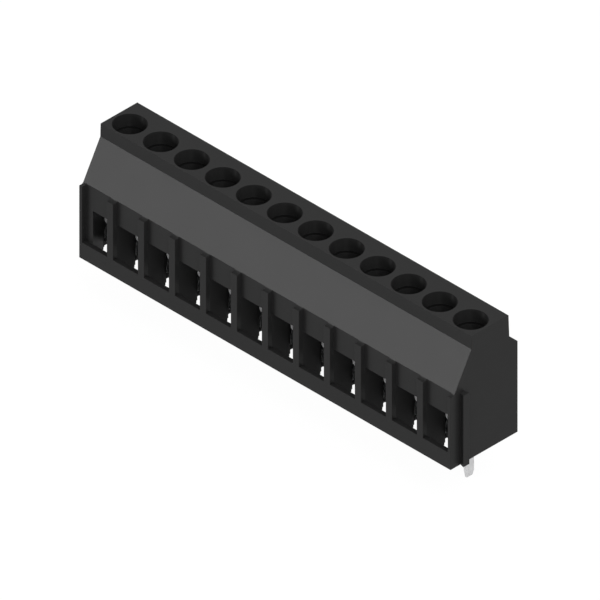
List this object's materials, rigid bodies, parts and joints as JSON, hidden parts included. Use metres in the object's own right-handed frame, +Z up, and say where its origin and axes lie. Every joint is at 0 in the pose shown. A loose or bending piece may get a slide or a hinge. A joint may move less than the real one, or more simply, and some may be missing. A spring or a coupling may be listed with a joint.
{
  "type": "pcb terminal block",
  "caption": "Horizontal-entry screw terminal block for circuit boards, with rising clamps, stepped screw holes in a sloped tower, solder pins and a dovetail for ganging.",
  "frame": {"origin": "on the board's face, in the middle of the row of solder pins", "axes": "+X along the row towards the dovetail tongue, -Y towards the wire entries, +Z up from the board to the screw holes"},
  "size_m": [0.0615, 0.011, 0.0219],
  "materials": {
    "moulding": "fine moulded satin, dark grey to black",
    "tinned_bar": "matt tin plate over brass",
    "yoke_steel": "zinc-plated steel strip",
    "screw_steel": "zinc-plated steel, turned and rolled"
  },
  "bodies": {
    "block": {"housing": "moulding", "current_bar_01": "tinned_bar", "current_bar_02": "tinned_bar", "current_bar_03": "tinned_bar", "current_bar_04": "tinned_bar", "current_bar_05": "tinned_bar", "current_bar_06": "tinned_bar", "current_bar_07": "tinned_bar", "current_bar_08": "tinned_bar", "current_bar_09": "tinned_bar", "current_bar_10": "tinned_bar", "current_bar_11": "tinned_bar", "current_bar_12": "tinned_bar"},
    "yoke_01": {"clamping_yoke_01": "yoke_steel"},
    "screw_01": {"clamp_screw_01": "screw_steel"},
    "yoke_02": {"clamping_yoke_02": "yoke_steel"},
    "screw_02": {"clamp_screw_02": "screw_steel"},
    "yoke_03": {"clamping_yoke_03": "yoke_steel"},
    "screw_03": {"clamp_screw_03": "screw_steel"},
    "yoke_04": {"clamping_yoke_04": "yoke_steel"},
    "screw_04": {"clamp_screw_04": "screw_steel"},
    "yoke_05": {"clamping_yoke_05": "yoke_steel"},
    "screw_05": {"clamp_screw_05": "screw_steel"},
    "yoke_06": {"clamping_yoke_06": "yoke_steel"},
    "screw_06": {"clamp_screw_06": "screw_steel"},
    "yoke_07": {"clamping_yoke_07": "yoke_steel"},
    "screw_07": {"clamp_screw_07": "screw_steel"},
    "yoke_08": {"clamping_yoke_08": "yoke_steel"},
    "screw_08": {"clamp_screw_08": "screw_steel"},
    "yoke_09": {"clamping_yoke_09": "yoke_steel"},
    "screw_09": {"clamp_screw_09": "screw_steel"},
    "yoke_10": {"clamping_yoke_10": "yoke_steel"},
    "screw_10": {"clamp_screw_10": "screw_steel"},
    "yoke_11": {"clamping_yoke_11": "yoke_steel"},
    "screw_11": {"clamp_screw_11": "screw_steel"},
    "yoke_12": {"clamping_yoke_12": "yoke_steel"},
    "screw_12": {"clamp_screw_12": "screw_steel"}
  },
  "joints": [
    {"name": "screw_turn_01", "type": "hinge", "parent": "block", "child": "screw_01", "pos_m": [-0.02794, 0.00031, 0.0111], "axis": [0, 0, -1], "range_deg": [0, 1730]},
    {"name": "yoke_lift_01", "type": "slide", "parent": "block", "child": "yoke_01", "axis": [0, 0, 1], "range_m": [0, 0.0024]},
    {"name": "screw_turn_02", "type": "hinge", "parent": "block", "child": "screw_02", "pos_m": [-0.02286, 0.00031, 0.0111], "axis": [0, 0, -1], "range_deg": [0, 1730]},
    {"name": "yoke_lift_02", "type": "slide", "parent": "block", "child": "yoke_02", "axis": [0, 0, 1], "range_m": [0, 0.0024]},
    {"name": "screw_turn_03", "type": "hinge", "parent": "block", "child": "screw_03", "pos_m": [-0.01778, 0.00031, 0.0111], "axis": [0, 0, -1], "range_deg": [0, 1730]},
    {"name": "yoke_lift_03", "type": "slide", "parent": "block", "child": "yoke_03", "axis": [0, 0, 1], "range_m": [0, 0.0024]},
    {"name": "screw_turn_04", "type": "hinge", "parent": "block", "child": "screw_04", "pos_m": [-0.0127, 0.00031, 0.0111], "axis": [0, 0, -1], "range_deg": [0, 1730]},
    {"name": "yoke_lift_04", "type": "slide", "parent": "block", "child": "yoke_04", "axis": [0, 0, 1], "range_m": [0, 0.0024]},
    {"name": "screw_turn_05", "type": "hinge", "parent": "block", "child": "screw_05", "pos_m": [-0.00762, 0.00031, 0.0111], "axis": [0, 0, -1], "range_deg": [0, 1730]},
    {"name": "yoke_lift_05", "type": "slide", "parent": "block", "child": "yoke_05", "axis": [0, 0, 1], "range_m": [0, 0.0024]},
    {"name": "screw_turn_06", "type": "hinge", "parent": "block", "child": "screw_06", "pos_m": [-0.00254, 0.00031, 0.0111], "axis": [0, 0, -1], "range_deg": [0, 1730]},
    {"name": "yoke_lift_06", "type": "slide", "parent": "block", "child": "yoke_06", "axis": [0, 0, 1], "range_m": [0, 0.0024]},
    {"name": "screw_turn_07", "type": "hinge", "parent": "block", "child": "screw_07", "pos_m": [0.00254, 0.00031, 0.0111], "axis": [0, 0, -1], "range_deg": [0, 1730]},
    {"name": "yoke_lift_07", "type": "slide", "parent": "block", "child": "yoke_07", "axis": [0, 0, 1], "range_m": [0, 0.0024]},
    {"name": "screw_turn_08", "type": "hinge", "parent": "block", "child": "screw_08", "pos_m": [0.00762, 0.00031, 0.0111], "axis": [0, 0, -1], "range_deg": [0, 1730]},
    {"name": "yoke_lift_08", "type": "slide", "parent": "block", "child": "yoke_08", "axis": [0, 0, 1], "range_m": [0, 0.0024]},
    {"name": "screw_turn_09", "type": "hinge", "parent": "block", "child": "screw_09", "pos_m": [0.0127, 0.00031, 0.0111], "axis": [0, 0, -1], "range_deg": [0, 1730]},
    {"name": "yoke_lift_09", "type": "slide", "parent": "block", "child": "yoke_09", "axis": [0, 0, 1], "range_m": [0, 0.0024]},
    {"name": "screw_turn_10", "type": "hinge", "parent": "block", "child": "screw_10", "pos_m": [0.01778, 0.00031, 0.0111], "axis": [0, 0, -1], "range_deg": [0, 1730]},
    {"name": "yoke_lift_10", "type": "slide", "parent": "block", "child": "yoke_10", "axis": [0, 0, 1], "range_m": [0, 0.0024]},
    {"name": "screw_turn_11", "type": "hinge", "parent": "block", "child": "screw_11", "pos_m": [0.02286, 0.00031, 0.0111], "axis": [0, 0, -1], "range_deg": [0, 1730]},
    {"name": "yoke_lift_11", "type": "slide", "parent": "block", "child": "yoke_11", "axis": [0, 0, 1], "range_m": [0, 0.0024]},
    {"name": "screw_turn_12", "type": "hinge", "parent": "block", "child": "screw_12", "pos_m": [0.02794, 0.00031, 0.0111], "axis": [0, 0, -1], "range_deg": [0, 1730]},
    {"name": "yoke_lift_12", "type": "slide", "parent": "block", "child": "yoke_12", "axis": [0, 0, 1], "range_m": [0, 0.0024]}
  ],
  "couplings": [
    {"joint": "screw_turn_01", "follows": "yoke_lift_01", "rad_per_m": 12566},
    {"joint": "screw_turn_02", "follows": "yoke_lift_02", "rad_per_m": 12566},
    {"joint": "screw_turn_03", "follows": "yoke_lift_03", "rad_per_m": 12566},
    {"joint": "screw_turn_04", "follows": "yoke_lift_04", "rad_per_m": 12566},
    {"joint": "screw_turn_05", "follows": "yoke_lift_05", "rad_per_m": 12566},
    {"joint": "screw_turn_06", "follows": "yoke_lift_06", "rad_per_m": 12566},
    {"joint": "screw_turn_07", "follows": "yoke_lift_07", "rad_per_m": 12566},
    {"joint": "screw_turn_08", "follows": "yoke_lift_08", "rad_per_m": 12566},
    {"joint": "screw_turn_09", "follows": "yoke_lift_09", "rad_per_m": 12566},
    {"joint": "screw_turn_10", "follows": "yoke_lift_10", "rad_per_m": 12566},
    {"joint": "screw_turn_11", "follows": "yoke_lift_11", "rad_per_m": 12566},
    {"joint": "screw_turn_12", "follows": "yoke_lift_12", "rad_per_m": 12566}
  ]
}
